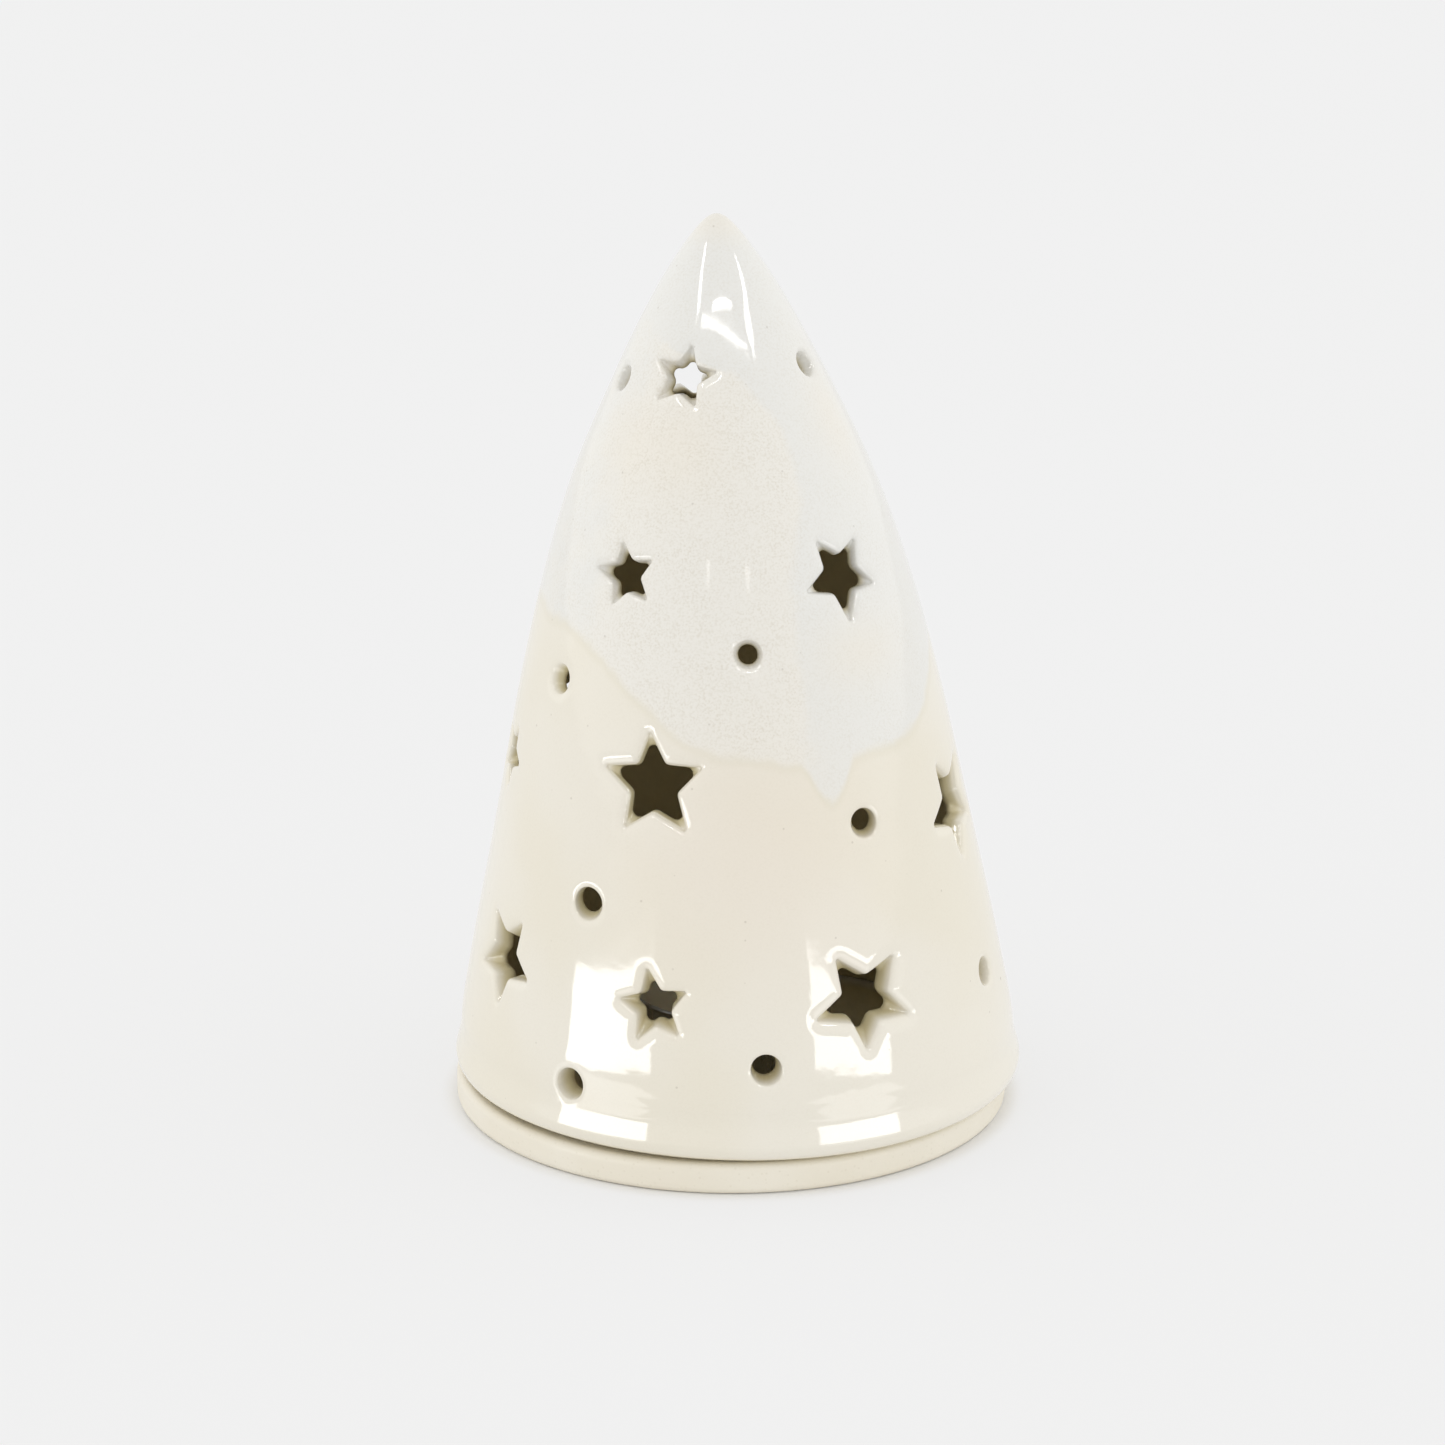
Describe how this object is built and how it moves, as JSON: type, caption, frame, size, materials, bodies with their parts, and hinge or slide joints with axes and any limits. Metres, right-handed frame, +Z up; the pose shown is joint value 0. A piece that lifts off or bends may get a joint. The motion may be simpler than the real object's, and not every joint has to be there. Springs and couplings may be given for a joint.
{
  "type": "tealight holder",
  "caption": "Two-piece glazed stoneware tealight holder: a tall pointed cover pierced with stars and small holes stands over a tealight on a flat round saucer.",
  "frame": {"origin": "middle of the saucer's flat underside", "axes": "+Z up along the cover, -Y the front, +X to the right seen from the front"},
  "size_m": [0.1074, 0.1074, 0.1692],
  "materials": {
    "glazed_stoneware": "gloss",
    "bare_stoneware": "matte",
    "aluminium_cup": "satin",
    "candle_wax": "satin",
    "tinned_steel": "satin",
    "cotton": "matte"
  },
  "bodies": {
    "base": {"saucer": "bare_stoneware"},
    "cover": {"cover": "glazed_stoneware"},
    "tealight": {"candle_cup": "aluminium_cup", "candle_wax": "candle_wax", "wick_sustainer": "tinned_steel", "wick": "cotton"}
  },
  "joints": [
    {"name": "cover_lift", "type": "slide", "parent": "base", "child": "cover", "axis": [0, 0, 1], "range_m": [0, 0.1]},
    {"name": "tealight_lift", "type": "slide", "parent": "base", "child": "tealight", "axis": [0, 0, 1], "range_m": [0, 0.04]}
  ]
}
